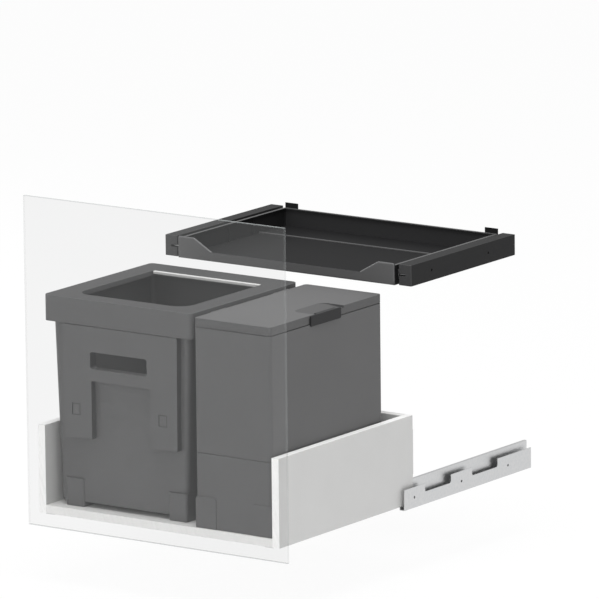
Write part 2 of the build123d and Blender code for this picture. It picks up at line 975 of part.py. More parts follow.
def lid_grip():
    """Dark grip on the lid's edge: a face plate with a lap that lies in the scoop."""
    outer = small_right + grip_thickness
    inner = small_right - grip_lap
    top = lid_top - grip_top_gap
    lap = outline([
        (inner, scoop_height(inner)),
        (inner, scoop_height(inner) + grip_lap_sheet),
        (outer, scoop_height(small_right) + grip_lap_sheet),
        (outer, scoop_height(small_right)),
        (small_right, scoop_height(small_right)),
    ])
    plate = block(small_right, outer, grip_front, grip_back, grip_low, top)
    plate = fillet(plate.edges().filter_by(Axis.X), grip_radius)
    outer_rim = plate.faces().sort_by(Axis.X)[-1].edges()
    plate = fillet(outer_rim, grip_edge)
    plate -= block(small_right - overrun, small_right + slide_gap, grip_front, grip_back, grip_low, lid_low)
    return plate + along_y(lap, scoop_front + scoop_corner, grip_back - grip_radius)


def apron():
    """Front of the tray: a low lip between two raised wings."""
    points = [
        (-tray_half_width, tray_low),
        (-tray_half_width, tray_wing),
        (-wing_inner, tray_wing),
        (-lip_inner, tray_lip),
        (lip_inner, tray_lip),
        (wing_inner, tray_wing),
        (tray_half_width, tray_wing),
        (tray_half_width, tray_low),
    ]
    face = outline(points)
    face = fillet(face.vertices().group_by(Axis.Y)[-1], wing_radius)
    face = fillet(face.vertices().group_by(Axis.Y)[0], apron_radius)
    plate = along_y(face, tray_front, tray_front + apron_thickness)
    under = plate.edges().filter_by(Axis.X).group_by(Axis.Z)[0].group_by(Axis.Y)[0]
    return fillet(under, apron_under_radius)


def tray():
    """Shallow open tray with a rim, inner ribs and the scooped front."""
    half = tray_half_width
    front = tray_front + apron_thickness / 2
    outer = along_z(rounded_area(-half, half, front - tray_corner, tray_back, tray_corner), tray_low, tray_rim)
    rim_area = rounded_area(-half, half, front - tray_corner, tray_back, tray_corner)
    rim_inner = rounded_area(
        tray_rim_width - half,
        half - tray_rim_width,
        front - tray_corner * 2,
        tray_back - tray_rim_width,
        tray_corner - tray_rim_width,
    )
    inner = rounded_area(
        tray_wall - half, half - tray_wall, front - tray_corner * 2, tray_back - tray_wall, tray_corner - tray_wall
    )
    shell = outer - along_z(inner, tray_low + tray_floor, tray_rim + overrun)
    shell += along_z(rim_area, tray_rim - tray_rim_thickness, tray_rim) - along_z(rim_inner, tray_low, tray_rim + overrun)
    shell -= block(-half - overrun, half + overrun, front - tray_corner * 2, front, tray_low - overrun, tray_rim + overrun)
    shell += apron()
    for rib in tray_ribs():
        shell += rib
    return shell


def tray_ribs():
    """Upright ribs on the inside of both side walls."""
    inner = tray_half_width - tray_wall - tray_rib_proud
    outer = tray_half_width - tray_wall / 2
    high = tray_rim - tray_rib_drop
    ribs = []
    for i in range(tray_rib_count):
        y = tray_front + tray_rib_first + tray_rib_pitch * i
        rib = block(inner, outer, y, y + tray_rib_width, tray_low + tray_floor / 2, high)
        ribs += [rib, other_side(rib)]
    return ribs


def tray_rail():
    """Angle on the tray's side whose tongue runs in the housing, with a stop at its back."""
    leg_low = housing_middle - tray_rail_leg / 2
    face = tray_half_width
    leg = block(
        face, face + tray_rail_sheet, tray_rail_front, tray_rail_back - tray_corner, leg_low, leg_low + tray_rail_leg
    )
    back = tray_rail_back
    tongue = block(face + tray_rail_sheet / 2, tongue_tip, tray_rail_front, back, tongue_low, tongue_high)
    stop_inner = housing_inner + housing_wall + slide_gap
    stop = block(
        stop_inner, tongue_tip, back - tray_rail_sheet, back, tongue_low, tongue_low + tray_stop_height
    )
    return leg + tongue + stop


def housing():
    """Channel on the cabinet wall with a slot towards the tray and screw holes behind it."""
    slot_low_z = housing_middle - housing_slot / 2
    slot_high_z = housing_middle + housing_slot / 2
    path = [
        (housing_inner, slot_low_z),
        (housing_inner, housing_low),
        (opening_half, housing_low),
        (opening_half, housing_high),
        (housing_inner, housing_high),
        (housing_inner, slot_high_z),
    ]
    body = along_y(folded_sheet(path, housing_wall), housing_front, housing_back)
    for i in range(tray_hole_count):
        y = housing_front + tray_hole_inset + tray_hole_pitch * i
        low = opening_half - housing_wall - overrun
        body -= rod_x(low, opening_half + overrun, y, housing_middle, fixing_hole_radius)
    return body


def housing_caps():
    """End caps of one housing; the front one has a notch for the tongue."""
    front = housing_front - cap_thickness
    front_cap = block(housing_inner, opening_half, front, housing_front, housing_low, housing_high)
    notch = block(
        housing_inner - overrun,
        tongue_tip + cap_notch_gap,
        front - overrun,
        housing_front + overrun,
        tongue_low - cap_notch_gap,
        tongue_high + cap_notch_gap,
    )
    rear_cap = block(
        housing_inner, opening_half, housing_back, housing_back + cap_thickness, housing_low, housing_high
    )
    return grouped([front_cap - notch, rear_cap])


def guide(y):
    """Slide block that fills the housing and has a groove for the tongue."""
    inner = housing_inner + housing_wall
    body = block(
        inner,
        opening_half - housing_wall,
        y,
        y + guide_length,
        housing_low + housing_wall,
        housing_high - housing_wall,
    )
    groove = block(
        inner - overrun,
        tongue_tip + slide_gap,
        y - overrun,
        y + guide_length + overrun,
        tongue_low - slide_gap,
        tongue_high + slide_gap,
    )
    return body - groove


def tray_guides():
    rear = tray_rail_back - tray_rail_sheet - tray_travel - slide_gap - guide_length
    return grouped([guide(housing_front + guide_inset), guide(rear)])


def rear_hooks():
    """Hook plates on the tray's back wall that stand above its rim."""
    inner = tray_half_width - hook_width - hook_inset
    plate = block(
        inner, inner + hook_width, tray_back, tray_back + hook_sheet, tray_low + hook_low, tray_low + hook_high
    )
    return both_sides(plate)


right_bracket = wall_bracket()
right_fixed_channel = channel(channel_outer, channel_tip, cabinet_rail_front)
right_middle = middle_rail()
right_pads = glide_pads()
right_drawer_channel = channel(inner_channel_back, inner_channel_tip, drawer_rail_front)
right_side = drawer_side()
right_front_bracket = front_bracket()
right_rear_bracket = rear_bracket()
right_tray_rail = tray_rail()
right_housing = housing()
right_caps = housing_caps()
right_guides = tray_guides()

nodes = {
    "wall_bracket_right": right_bracket,
    "wall_bracket_left": other_side(right_bracket),
    "fixed_rail_right": right_fixed_channel,
    "fixed_rail_left": other_side(right_fixed_channel),
    "middle_rail_right": right_middle,
    "middle_rail_left": other_side(right_middle),
    "glide_pads_right": right_pads,
    "glide_pads_left": other_side(right_pads),
    "drawer_rail_right": right_drawer_channel,
    "drawer_rail_left": other_side(right_drawer_channel),
    "drawer_side_right": right_side,
    "drawer_side_left": other_side(right_side),
    "bottom_board": bottom_board(),
    "back_board": back_board(),
    "floor_screws": floor_screws(),
    "front_bracket_right": right_front_bracket,
    "front_bracket_left": other_side(right_front_bracket),
    "rear_bracket_right": right_rear_bracket,
    "rear_bracket_left": other_side(right_rear_bracket),
    "rear_bracket_screws": rear_bracket_screws(),
    "clear_front": clear_front(),
    "large_bin": large_bin(),
    "bag_frame": bag_frame(),
    "bag_bar": bag_bar(),
    "small_stand": small_stand(),
    "stand_screws": stand_screws(),
    "small_bin": small_bin(),
    "small_lid": lid(),
    "lid_hinge_pins": lid_hinge_pins(),
    "lid_grip": lid_grip(),
    "tray": tray(),
    "tray_rail_right": right_tray_rail,
    "tray_rail_left": other_side(right_tray_rail),
    "tray_rear_hooks": rear_hooks(),
    "tray_housing_right": right_housing,
    "tray_housing_left": other_side(right_housing),
    "housing_caps_right": right_caps,
    "housing_caps_left": other_side(right_caps),
    "tray_guides_right": right_guides,
    "tray_guides_left": other_side(right_guides),
}

os.makedirs("parts", exist_ok=True)
for name, shape in nodes.items():
    export_step(shape, f"parts/{name}.step")
    print(name, len(shape.solids()))
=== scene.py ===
# %% [markdown]
# # A pull-out bin frame
# This lesson dresses a finished CAD model in Blender.
# The model is a drawer on hidden runners that carries two waste bins, with a tray above them.
# Its shapes are already exact, so most of the work here is surfaces, edges and light.
# The first cell loads the model. Nothing that it loads is moved or reshaped: where an edge needs
# more care, a copy of the node stands in for it.

# %% Load the model
import json
import math

import bpy
from mathutils import Matrix, Vector

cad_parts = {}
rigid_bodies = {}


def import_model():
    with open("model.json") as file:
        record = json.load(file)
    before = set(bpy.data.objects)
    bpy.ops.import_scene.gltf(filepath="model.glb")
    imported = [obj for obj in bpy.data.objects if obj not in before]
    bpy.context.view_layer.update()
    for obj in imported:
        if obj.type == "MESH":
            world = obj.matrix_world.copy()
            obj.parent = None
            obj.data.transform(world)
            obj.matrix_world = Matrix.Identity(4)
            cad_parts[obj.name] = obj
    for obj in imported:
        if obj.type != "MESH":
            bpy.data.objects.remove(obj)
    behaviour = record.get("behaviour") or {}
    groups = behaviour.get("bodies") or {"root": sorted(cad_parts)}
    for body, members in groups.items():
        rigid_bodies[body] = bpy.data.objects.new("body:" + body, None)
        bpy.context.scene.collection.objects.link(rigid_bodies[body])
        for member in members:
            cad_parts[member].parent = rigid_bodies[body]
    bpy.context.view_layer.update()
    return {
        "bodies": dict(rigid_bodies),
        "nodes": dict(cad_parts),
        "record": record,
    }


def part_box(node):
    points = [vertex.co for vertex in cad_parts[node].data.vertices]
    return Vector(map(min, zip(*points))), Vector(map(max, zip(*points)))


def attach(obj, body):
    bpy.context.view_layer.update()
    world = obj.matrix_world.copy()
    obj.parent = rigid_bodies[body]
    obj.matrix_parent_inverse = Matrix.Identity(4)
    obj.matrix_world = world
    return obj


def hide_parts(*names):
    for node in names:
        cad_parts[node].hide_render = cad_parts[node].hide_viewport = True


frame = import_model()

nodes = frame["nodes"]
slot_of = {part["node"]: part["material_slot"] for part in frame["record"]["subparts"]}
body_of = {}
for body, members in frame["record"]["behaviour"]["bodies"].items():
    for member in members:
        body_of[member] = body
print("bodies:", ", ".join(sorted(frame["bodies"])))
print("nodes:", len(nodes))

# %% [markdown]
# ## The camera
# The picture was taken from far away with a long lens, so parallel edges stay nearly parallel.
# A camera like that could be aimed at a point, but then its roll is hard to set. It is described
# best by where it stands and by three turns: how far round, how far down, and roll.
# The lens is given in pixels: its distance from the picture, measured in the picture's own pixels.

# %% Place the camera
picture_width = 599
lens_in_pixels = 8300.9
view_turn = math.radians(35.017)
view_dip = math.radians(11.786)
view_roll = math.radians(-0.612)
view_spot = Vector((8.8670, -12.5845, 3.5913))

forward = Vector((
    -math.sin(view_turn) * math.cos(view_dip),
    math.cos(view_turn) * math.cos(view_dip),
    -math.sin(view_dip),
))
level_right = forward.cross(Vector((0, 0, 1))).normalized()
level_up = level_right.cross(forward)
right = math.cos(view_roll) * level_right + math.sin(view_roll) * level_up
up = right.cross(forward)
view_axes = Matrix((right, up, -forward)).transposed().to_4x4()

camera_data = bpy.data.cameras.new("long_lens")
camera_data.sensor_width = 36
camera_data.lens = lens_in_pixels / picture_width * camera_data.sensor_width
camera_data.clip_end = 100
camera = bpy.data.objects.new("camera", camera_data)
bpy.context.scene.collection.objects.link(camera)
camera.matrix_world = Matrix.Translation(view_spot) @ view_axes
bpy.context.scene.camera = camera
print("lens:", round(camera_data.lens, 1), "mm")

# %% [markdown]
# ## Writing a material as sums
# A procedural material is a small calculation that runs at every point of a surface.
# Wiring each step by hand hides the sum that it makes, so a small class wraps a socket.
# Ordinary signs on it then add the Math nodes, and a finish reads like a formula.

# %% A socket that can be added and multiplied
class Tone:
    """A number that changes over a surface."""

    def __init__(self, finish, socket):
        self.finish = finish
        self.socket = socket

    def join(self, operation, other):
        maths = self.finish.node("ShaderNodeMath", {"operation": operation}, {0: self, 1: other})
        return Tone(self.finish, maths.outputs[0])

    def __add__(self, other):
        return self.join("ADD", other)

    def __mul__(self, other):
        return self.join("MULTIPLY", other)

    def highest(self, other):
        """The larger of two numbers at each point."""
        return self.join("MAXIMUM", other)

    __radd__ = __add__
    __rmul__ = __mul__


# %% [markdown]
# The second class holds one material. Its node method makes any node, sets it up and wires it.
# Plain numbers go straight onto the shader's own sockets, and only what varies gets a wire.
# A Mix node keeps sockets for numbers, vectors and colours, so its colour ones are named here.

# %% A material and its nodes
first_colour, second_colour, mixed_colour = 6, 7, 2


class Finish:
    """One procedural material, built around a Principled shader."""

    def __init__(self, name):
        self.material = bpy.data.materials.new(name)
        self.material.use_nodes = True
        self.tree = self.material.node_tree
        self.tree.nodes.clear()
        self.shader = self.node("ShaderNodeBsdfPrincipled")
        shown = {"Surface": self.shader.outputs[0]}
        self.output = self.node("ShaderNodeOutputMaterial", inputs=shown)
        self.place = self.node("ShaderNodeTexCoord").outputs["Object"]

    def node(self, kind, settings=None, inputs=None):
        """Make a node, set it up, and then feed its sockets."""
        made = self.tree.nodes.new(kind)
        for key, value in (settings or {}).items():
            setattr(made, key, value)
        for key, value in (inputs or {}).items():
            self.feed(made.inputs[key], value)
        return made

    def feed(self, socket, value):
        """Wire a socket to what varies, or set it to a plain value."""
        if isinstance(value, Tone):
            value = value.socket
        if isinstance(value, bpy.types.NodeSocket):
            self.tree.links.new(value, socket)
        else:
            socket.default_value = value

    def set(self, **values):
        """Feed the shader's sockets. An underscore stands for the space in a socket's name."""
        for key, value in values.items():
            self.feed(self.shader.inputs[key.replace("_", " ")], value)

    def stretched(self, x, y, z):
        """The place on the piece, with each direction scaled, for grain that runs one way."""
        inputs = {"Vector": self.place, "Scale": (x, y, z)}
        return self.node("ShaderNodeMapping", inputs=inputs).outputs[0]

    def noise(self, size, detail=3.0, place=None):
        """Cloudy variation whose patches are about size metres across, from 0 to 1."""
        inputs = {"Vector": place or self.place, "Scale": 1 / size, "Detail": detail}
        return Tone(self, self.node("ShaderNodeTexNoise", inputs=inputs).outputs[0])

    def pebbles(self, size):
        """Rounded cells, like fine leather or eroded mould steel."""
        inputs = {"Vector": self.place, "Scale": 1 / size}
        return Tone(self, self.node("ShaderNodeTexVoronoi", inputs=inputs).outputs["Distance"])

    def between(self, factor, low, high):
        """A colour between two colours."""
        inputs = {0: factor, first_colour: (*low, 1), second_colour: (*high, 1)}
        return self.node("ShaderNodeMix", {"data_type": "RGBA"}, inputs).outputs[mixed_colour]

    def bump(self, height, depth):
        """Fine relief: height from 0 to 1, depth in metres."""
        inputs = {"Height": height, "Distance": depth, "Strength": 1.0}
        self.set(Normal=self.node("ShaderNodeBump", inputs=inputs).outputs[0])


# %% [markdown]
# ## Finishes
# Each surface of the real thing has its own small signs. The sides are powder-coated steel, with a
# faint orange peel. The boards are pressed laminate.
# The bins are moulded in steel tools that were etched, which leaves a fine grain.
# The rails are zinc-plated, so they are bright and slightly cloudy.
# One flat colour would lose all of this, so each finish mixes two near tones over a soft noise.

# %% Two tones of one colour
def tones(colour, drift):
    """A colour a little darker and a little lighter. Drift is the share of each step."""
    return [tuple(part * (1 + step) for part in colour) for step in (-drift, drift)]


# %% Powder-coated steel
coat_warmth = 0.99


def powder_coat(name, dull, bright):
    """White powder coat, whose whiteness drifts between two levels."""
    finish = Finish(name)
    peel = finish.noise(size=0.0016, detail=2)
    cloud = finish.noise(size=0.09)
    low, high = ((level, level, level * coat_warmth) for level in (dull, bright))
    finish.set(
        Base_Color=finish.between(cloud, low, high),
        Roughness=0.36 + 0.1 * peel,
        Specular_IOR_Level=0.45,
    )
    finish.bump(peel, depth=0.00004)
    return finish.material


# %% White laminate on board
def laminate():
    """Pressed laminate with fine pores."""
    finish = Finish("white_laminate")
    pores = finish.pebbles(size=0.0008)
    cloud = finish.noise(size=0.12)
    finish.set(
        Base_Color=finish.between(cloud, (0.72, 0.72, 0.71), (0.76, 0.76, 0.75)),
        Roughness=0.5 + 0.12 * pores,
        Specular_IOR_Level=0.4,
    )
    finish.bump(pores, depth=0.00003)
    return finish.material


# %% Moulded plastic
fine_grain = 0.6
cell_share = 0.7


def moulded(name, colour, grain=0.0005, depth=0.000004, roughness=0.42, gloss=0.4):
    """Plastic with the grain of an etched tool. Grain and depth are in metres."""
    finish = Finish(name)
    cells = finish.pebbles(size=grain)
    fine = finish.noise(size=grain * fine_grain, detail=2)
    flow = finish.noise(size=0.09)
    finish.set(
        Base_Color=finish.between(flow, *tones(colour, drift=0.05)),
        Roughness=roughness + 0.1 * fine,
        Specular_IOR_Level=gloss,
    )
    finish.bump(cells * cell_share + fine * (1 - cell_share), depth)
    return finish.material


# %% Zinc-plated steel
def zinc():
    """Bright plating, with its crystals and the lines left by drawing the rails."""
    finish = Finish("zinc_plated_steel")
    spangle = finish.pebbles(size=0.006)
    drawn = finish.noise(size=0.0012, detail=2, place=finish.stretched(1.0, 0.04, 1.0))
    finish.set(
        Base_Color=finish.between(spangle, (0.60, 0.61, 0.62), (0.70, 0.70, 0.70)),
        Metallic=1.0,
        Roughness=0.28 + 0.14 * spangle + 0.06 * drawn,
    )
    finish.bump(drawn, depth=0.00002)
    return finish.material


# %% [markdown]
# A clear sheet is seen twice, at its front face and at its back face, so each face gets half of
# its faint haze. The haze is white room light that the sheet throws back. Traced ray by ray, it
# would leave grain on what stands behind the sheet, so each face gives it off evenly as a faint
# glow instead.
# The sheet's sawn and polished rim gathers light from the whole sheet. It is less clear, and shows
# as a grey line. The long top and bottom edges are looked through lengthwise, and show darker than
# the upright ones.

# %% Clear acrylic
def clear_sheet():
    """The wide faces of the sheet: nearly clear, with an even haze."""
    finish = Finish("clear_acrylic")
    haze = finish.noise(size=0.2)
    finish.set(
        Base_Color=(0.01, 0.01, 0.01, 1),
        Roughness=0.06 + 0.04 * haze,
        Alpha=0.07 + 0.01 * haze,
        Specular_IOR_Level=0.0,
        Emission_Color=(0.315, 0.32, 0.32, 1),
        Emission_Strength=1.0,
    )
    return finish.material


def clear_rim(name, colour, cover):
    """A polished edge. Cover is the share of light that it stops."""
    finish = Finish(name)
    saw = finish.noise(size=0.0015, detail=2)
    finish.set(
        Base_Color=finish.between(saw, *tones(colour, drift=0.07)),
        Roughness=0.2 + 0.15 * saw,
        Alpha=cover + 0.06 * saw,
    )
    return finish.material


# %% [markdown]
# The model's record names a slot for each piece, and the first table has one finish for each slot.
# The second table holds the finishes that single faces or pieces get further on.

# %% Make the finishes
slot_finishes = {
    "white_steel": powder_coat("powder_coated_steel", dull=0.55, bright=0.59),
    "white_board": laminate(),
    "bin_grey": moulded("bin_plastic", (0.094, 0.094, 0.095)),
    "lid_grey": moulded("lid_plastic", (0.083, 0.083, 0.084), roughness=0.5),
    "light_grey": moulded("bag_bar_plastic", (0.60, 0.60, 0.59), roughness=0.35),
    # The grip is near-black: painted shade for the finger recess under the lid's edge.
    "dark_grip": moulded(
        "grip_painted_shade", (0.016, 0.016, 0.017), grain=0.0009, depth=0.00003, roughness=0.6
    ),
    # The tray and its housings: dark plastic, darkened further as painted shade of the cabinet
    # round them, which the scene leaves out.
    "tray_grey": moulded("tray_plastic_painted_shade", (0.0115, 0.0115, 0.012), roughness=0.75, gloss=0.1),
    "housing_grey": moulded("housing_plastic_painted_shade", (0.015, 0.015, 0.0155), roughness=0.6, gloss=0.2),
    "cap_grey": moulded("cap_plastic", (0.040, 0.040, 0.041)),
    "natural_nylon": moulded("nylon", (0.66, 0.65, 0.60), roughness=0.4),
    "zinc_steel": zinc(),
    "clear_acrylic": clear_sheet(),
}
own_finishes = {
    # The relief's sides: the bin plastic made darker, as painted shade.
    "relief_painted_shade": moulded("relief_side_plastic", (0.058, 0.058, 0.059)),
    # The lid's scoop: darker, as painted shade on its slope.
    "scoop_painted_shade": moulded("lid_scoop_plastic", (0.057, 0.057, 0.058), roughness=0.5),
    "dark_nylon": moulded("dark_nylon", (0.030, 0.030, 0.031), roughness=0.5),
    # Folds and cut ends: a whiter powder coat, as painted light.
    "fold_painted_light": powder_coat("powder_coated_fold", dull=0.86, bright=0.90),
    # The grooves round the marks: darker, as painted shade.
    "groove": moulded("mark_groove_plastic", (0.040, 0.040, 0.041)),
    # The tray's apron, rim tops and back wall: paler copies of the tray plastic, as painted light
    # and painted highlight.
    "apron_painted_light": moulded("tray_apron_plastic", (0.095, 0.095, 0.096)),
    "tray_rim": moulded("tray_rim_plastic", (0.070, 0.070, 0.071), roughness=0.5),
    "wall_painted_light": moulded("tray_wall_plastic", (0.032, 0.032, 0.033), roughness=0.75, gloss=0.1),
    # The ring's top: darker than the bin plastic, as painted shade against the light from above.
    "ring_top_painted_shade": moulded("ring_top_plastic", (0.045, 0.045, 0.046), roughness=0.55, gloss=0.25),
    "long_rim": clear_rim("clear_acrylic_long_rim", (0.30, 0.32, 0.32), cover=0.42),
    "short_rim": clear_rim("clear_acrylic_short_rim", (0.40, 0.42, 0.42), cover=0.12),
}
print("finishes:", len(slot_finishes) + len(own_finishes))

# %% Dress the model
for name, piece in nodes.items():
    finish = slot_finishes[slot_of[name]]
    if name.startswith("tray_guides"):
        finish = own_finishes["dark_nylon"]
    piece.data.materials.clear()
    piece.data.materials.append(finish)
print("dressed:", len(nodes), "nodes")

# %% [markdown]
# ## Working on one piece at a time
# Blender's operators act on everything that is selected. The loaded nodes start out selected, and a
# new primitive is selected all over.
# So one helper picks a single piece, one selects only the faces or edges that pass a test, one
# applies a modifier, and one hands a finished piece to the model.

# %% Small helpers
def pick(piece):
    """Select one piece alone and make it the active one."""
    bpy.ops.object.select_all(action="DESELECT")
    piece.select_set(True)
    bpy.context.view_layer.objects.active = piece


def edit_only(piece, kind, chosen):
    """Start edit mode with only the faces or edges for which chosen(one) is true. Counts them."""
    mesh = piece.data
    for item in (*mesh.vertices, *mesh.edges, *mesh.polygons):
        item.select = False
    items = mesh.polygons if kind == "FACE" else mesh.edges
    for item in items:
        item.select = chosen(item)
    count = sum(item.select for item in items)
    pick(piece)
    bpy.ops.object.mode_set(mode="EDIT")
    bpy.ops.mesh.select_mode(type=kind)
    return count


def apply(piece, kind, **settings):
    """Add a modifier, set it up and apply it."""
    pick(piece)
    modifier = piece.modifiers.new(kind.lower(), kind)
    for key, value in settings.items():
        setattr(modifier, key, value)
    bpy.ops.object.modifier_apply(modifier=modifier.name)


def hand_over(piece, node):
    """The piece stands for a node: it rides on the same body, and the node is hidden."""
    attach(piece, body_of[node])
    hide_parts(node)


# %% [markdown]
# ## Edges that catch light
# No moulding or folded sheet has a knife edge. A narrow round on each edge catches a thin line of
# light, and that line is most of what makes a plain box look real.
# The loaded meshes are loose triangles, so the round can't be cut on them as they are.
# Each moulding, board and folded sheet is copied instead. The copy's triangles are joined, its flat
# areas become single faces, and a Bevel modifier then rounds every edge sharper than a set angle.
# Weighted normals keep the flat areas flat beside their rounds.

# %% Joined copies with soft edges
join_distance = 0.00002
flat_angle = math.radians(0.6)
sharp_angle = math.radians(35)
smooth_angle = math.radians(40)


def joined_copy(node, name):
    """A copy of a node in which triangles share their corners and flat areas are single faces."""
    piece = bpy.data.objects.new(name, nodes[node].data.copy())
    bpy.context.scene.collection.objects.link(piece)
    pick(piece)
    bpy.ops.mesh.customdata_custom_splitnormals_clear()
    bpy.ops.object.mode_set(mode="EDIT")
    bpy.ops.mesh.select_all(action="SELECT")
    bpy.ops.mesh.remove_doubles(threshold=join_distance)
    bpy.ops.mesh.dissolve_limited(angle_limit=flat_angle)
    bpy.ops.object.mode_set(mode="OBJECT")
    return piece


def shade(piece):
    """Smooth over the rounds, flat on the flats."""
    pick(piece)
    bpy.ops.object.shade_smooth_by_angle(angle=smooth_angle)
    apply(piece, "WEIGHTED_NORMAL", keep_sharp=True)


def soften(piece, width):
    """Round the sharp edges of a piece."""
    apply(
        piece, "BEVEL", width=width, segments=2, limit_method="ANGLE",
        angle_limit=sharp_angle, use_clamp_overlap=True,
    )
    shade(piece)


# %% [markdown]
# Where the small bin sits on its stand, the two mouldings meet in a shallow groove.
# Each has a broken edge there, wider than its other edges, so that the joint shows as one even
# line. A wider Bevel modifier would round every edge, so only these are bevelled in edit mode.
# The edges are found by their height and by how near they lie to the outside of the piece.

# %% Break the edges of the joint
joint_edge = 0.0011
rim_reach = 0.003
level_slack = 0.0002


def break_rim(piece, level):
    """Bevel the edges that run round the outside of a piece at one level."""
    spots = [vertex.co for vertex in piece.data.vertices]
    lowest = [min(spot[axis] for spot in spots) + rim_reach for axis in range(2)]
    highest = [max(spot[axis] for spot in spots) - rim_reach for axis in range(2)]

    def on_rim(index):
        x, y, z = spots[index]
        inside = lowest[0] < x < highest[0] and lowest[1] < y < highest[1]
        return abs(z - level) < level_slack and not inside

    count = edit_only(piece, "EDGE", lambda edge: all(on_rim(index) for index in edge.vertices))
    bpy.ops.mesh.bevel(offset=joint_edge, segments=2, affect="EDGES")
    bpy.ops.object.mode_set(mode="OBJECT")
    print(piece.name, count, "edges at", round(level, 4))


stand_clearance = 0.0003
joint_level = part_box("small_bin")[0].z
joints = {"small_bin": joint_level, "small_stand": joint_level - stand_clearance}

# %% Soften the mouldings, boards and folded sheets
moulding_edge = 0.0005
board_edge = 0.0004
sheet_edge = 0.0003


def both(*names):
    """The names of nodes that come as a right and a left one."""
    return tuple(f"{name}_{side}" for name in names for side in ("right", "left"))


softened = {
    "moulding": (moulding_edge, (
        "large_bin", "bag_frame", "small_bin", "small_stand", "small_lid", "lid_grip", "bag_bar",
        "tray", *both("tray_housing", "housing_caps"),
    )),
    "board": (board_edge, ("bottom_board", "back_board")),
    "sheet": (sheet_edge, (
        *both("drawer_side", "front_bracket", "rear_bracket", "wall_bracket"), "tray_rear_hooks",
    )),
}
pieces = {}
for kind, (width, names) in softened.items():
    for node in names:
        piece = joined_copy(node, f"{node}_{kind}")
        if node in joints:
            break_rim(piece, joints[node])
        soften(piece, width)
        hand_over(piece, node)
        pieces[node] = piece
face_count = sum(len(piece.data.polygons) for piece in pieces.values())
print("softened:", len(pieces), "with", face_count, "faces")

# %% [markdown]
# ## Faces with a finish of their own
# Some faces of a piece look different from the rest. Each could be a piece of its own, but on the
# real thing they are one moulding or one sheet. So a helper finds them by a test of their place or
# normal, and gives them another finish.
# The narrow folds and cut ends of the sheet steel catch more light than the wide faces. The top
# folds of the drawer's sides and the front ends of its brackets are the first to get such a finish:
# a whiter colour that is painted light. They show as bright lines.

# %% Whiten the folds with painted light
square_on = 0.9


def refinish(node, finish, chosen):
    """Give the faces of a piece for which chosen(face) is true another finish."""
    piece = pieces[node]
    piece.data.materials.append(own_finishes[finish])
    count = 0
    for face in piece.data.polygons:
        if chosen(face):
            face.material_index = len(piece.data.materials) - 1
            count += 1
    print(node, finish, count, "faces")


def whiten(node, axis, sign):
    """Whiten the faces that look one way along an axis and lie at that end of the piece."""
    low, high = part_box(node)
    end = (high if sign > 0 else low)[axis]
    refinish(node, "fold_painted_light", lambda face: (
        face.normal[axis] * sign > square_on and abs(face.center[axis] - end) < 2 * sheet_edge
    ))


along, upward = 1, 2
for node in both("drawer_side"):
    whiten(node, upward, 1)
for node in both("front_bracket"):
    whiten(node, along, -1)

# %% [markdown]
# ## The square marks
# On each leg of the large bin's raised front frame is a small square recess, where a sign would be
# moulded. Here the fields are bare, and a fine groove runs round each.
# The floor of the recess is inset, and its middle is raised again, so the band between becomes the
# groove. The band gets a darker finish, which is painted shade in the groove.
# The floor's number in the mesh may change, so it is found by its size and not by its number.

# %% Cut the grooves round the marks
groove_width = 0.0016
field_rise = 0.0008
mark_size = (0.019, 0.023)
size_slack = 0.0012
dead_on = 0.98


def is_mark_floor(face, spots):
    """A forward-looking face as large as one mark."""
    if face.normal.y > -dead_on:
        return False
    xs = [spots[index].co.x for index in face.vertices]
    zs = [spots[index].co.z for index in face.vertices]
    wide = abs(max(xs) - min(xs) - mark_size[0]) < size_slack
    return wide and abs(max(zs) - min(zs) - mark_size[1]) < size_slack


def groove_marks(piece):
    """Inset each mark's floor and raise its middle. Gives the number of marks."""
    spots = piece.data.vertices
    faces_before = len(piece.data.polygons)
    count = edit_only(piece, "FACE", lambda face: is_mark_floor(face, spots))
    bpy.ops.mesh.inset(thickness=groove_width, depth=field_rise, use_individual=True)
    bpy.ops.object.mode_set(mode="OBJECT")
    piece.data.materials.append(own_finishes["groove"])
    for face in list(piece.data.polygons)[faces_before:]:
        face.material_index = len(piece.data.materials) - 1
    return count


print("marks:", groove_marks(pieces["large_bin"]))

# %% [markdown]
# ## Relief and scoop
# The sides of the low relief on the bins' fronts lie in its own shade. Their darker finish is
# painted shade, so they show as dark lines.
# The finger scoop in the lid slopes away from the light, and its darker finish is painted shade.

# %% Paint shade on the relief's sides and the scoop
outer_edge = 0.01
relief_depth = {"large_bin": 0.0128, "small_stand": 0.0020}
scoop_lean = (0.05, 0.2)
scoop_smallest = 0.001


def shade_relief(node, depth):
    """Darken the right-hand sides of all that stands proud of a front by up to depth, as painted
    shade.
    """
    low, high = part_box(node)
    refinish(node, "relief_painted_shade", lambda face: (
        face.normal.x > square_on
        and face.center.y < low.y + depth
        and face.center.x < high.x - outer_edge
    ))


for node, depth in relief_depth.items():
    shade_relief(node, depth)
refinish("small_lid", "scoop_painted_shade", lambda face: (
    scoop_lean[0] < face.normal.x < scoop_lean[1] and face.area > scoop_smallest
))

# %% [markdown]
# ## The top of the bag frame
# The ring that holds the bag is one moulding. Its top is a little rougher, and its darker colour is
# painted shade against the light from above, so the top looks hardly paler than the front.

# %% Give the ring's top its finish
ring_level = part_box("bag_frame")[1].z
refinish("bag_frame", "ring_top_painted_shade", lambda face: (
    face.center.z > ring_level - moulding_edge and face.normal.z > square_on
))

# %% [markdown]
# ## The tray's apron, rim and back wall
# The front of the tray catches more light than its inside. Its finish is smoother, and its paler
# colour is painted light. The narrow top faces of the rim are paler too, as a painted highlight,
# and the rim shows as a thin line. The inner face of the back wall is paler than the floor, as
# painted light.

